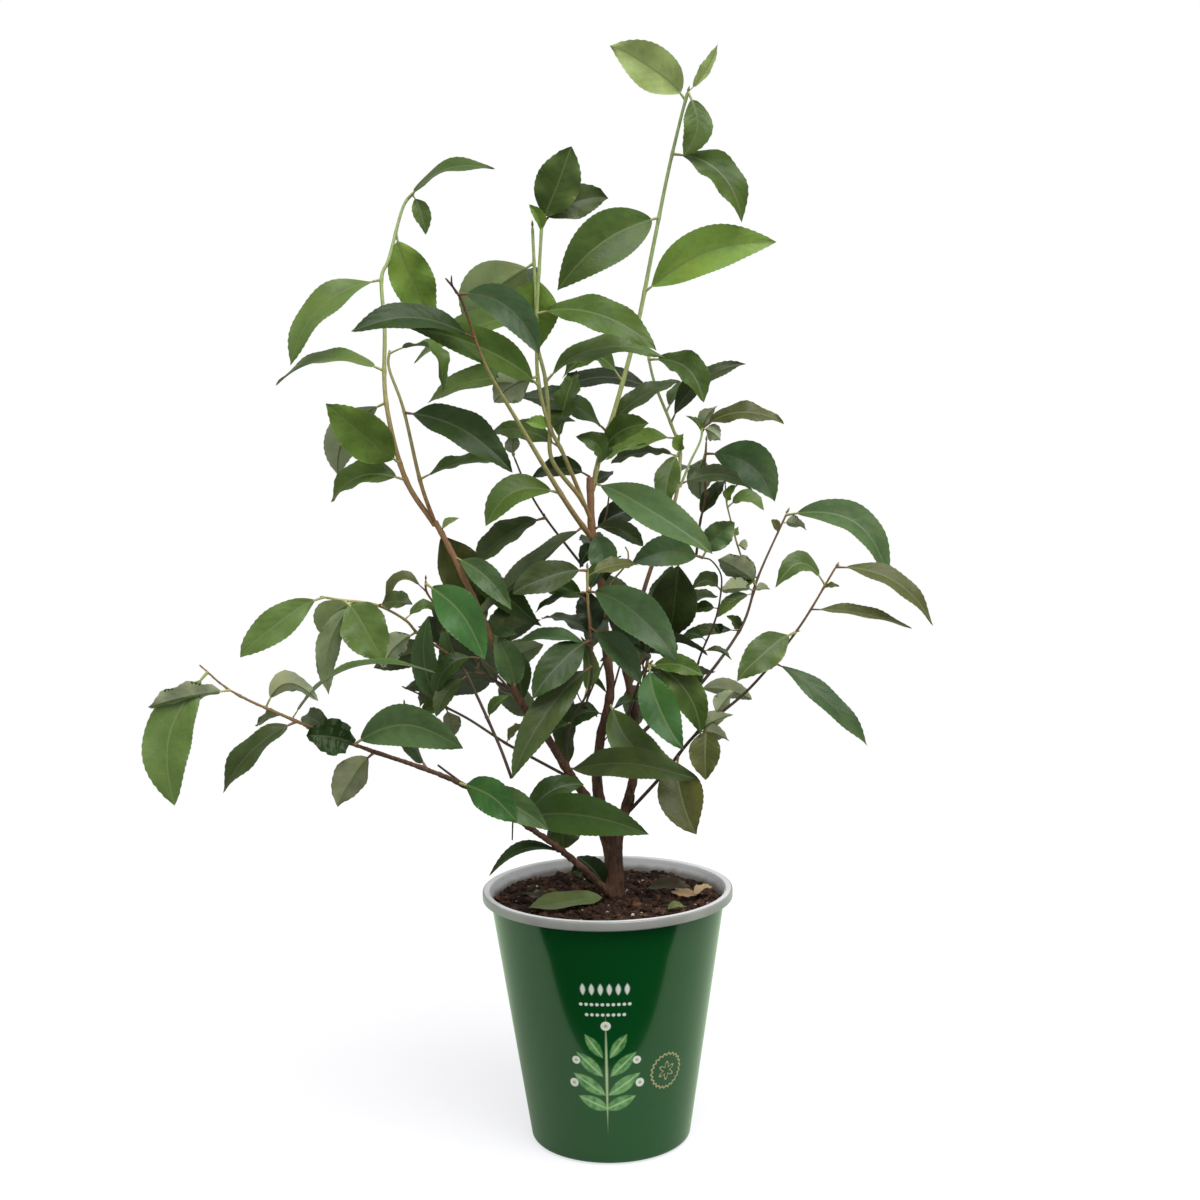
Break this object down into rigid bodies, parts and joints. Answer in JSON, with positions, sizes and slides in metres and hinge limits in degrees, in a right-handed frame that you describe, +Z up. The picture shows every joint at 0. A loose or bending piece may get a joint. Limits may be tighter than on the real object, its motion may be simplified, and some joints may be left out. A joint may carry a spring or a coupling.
{
  "type": "potted tea bush",
  "caption": "Young tea bush with glossy serrated leaves on thin woody stems, in a round green plastic nursery pot of compost",
  "frame": {"origin": "centre of the pot's flat underside", "axes": "+X to the right-hand stem's side, +Y to the back of the plant, +Z up along the pot's axis"},
  "size_m": [0.377, 0.25, 0.561],
  "materials": {
    "pot_plastic": "gloss",
    "compost": "rough",
    "bark": "rough",
    "green_bark": "satin",
    "dark_foliage": "satin",
    "mid_foliage": "satin",
    "bright_foliage": "satin"
  },
  "bodies": {
    "root": {"pot": "pot_plastic", "compost": "compost", "trunk": "bark", "stem_middle": "bark", "stem_right": "bark", "stem_left": "bark", "bough_low_left": "bark", "bough_left_side": "green_bark", "bough_left_top": "green_bark", "bough_front": "green_bark", "bough_inner_left": "green_bark", "bough_twin": "green_bark", "bough_leader": "green_bark", "bough_right_top": "green_bark", "bough_right_upper": "green_bark", "bough_right_low": "green_bark", "bough_back": "green_bark", "bough_left_back": "green_bark", "bough_right_heart": "green_bark", "bough_back_left": "green_bark", "leaves_leader_top": "bright_foliage", "leaves_leader": "bright_foliage", "leaves_leader_foot": "mid_foliage", "leaves_left_top": "bright_foliage", "leaves_left": "mid_foliage", "leaves_left_low": "mid_foliage", "leaves_twin_top": "bright_foliage", "leaves_twin": "mid_foliage", "leaves_inner_left": "mid_foliage", "leaves_right_top": "mid_foliage", "leaves_right_upper": "mid_foliage", "leaves_far_right": "mid_foliage", "leaves_right_side": "mid_foliage", "leaves_right_front": "bright_foliage", "leaves_right_heart": "dark_foliage", "leaves_front": "bright_foliage", "leaves_left_middle": "mid_foliage", "leaves_left_back": "dark_foliage", "leaves_left_side": "bright_foliage", "leaves_far_left": "bright_foliage", "leaves_low_left": "mid_foliage", "leaves_low_front": "dark_foliage", "leaves_back": "dark_foliage", "leaves_back_left": "dark_foliage"}
  },
  "joints": []
}
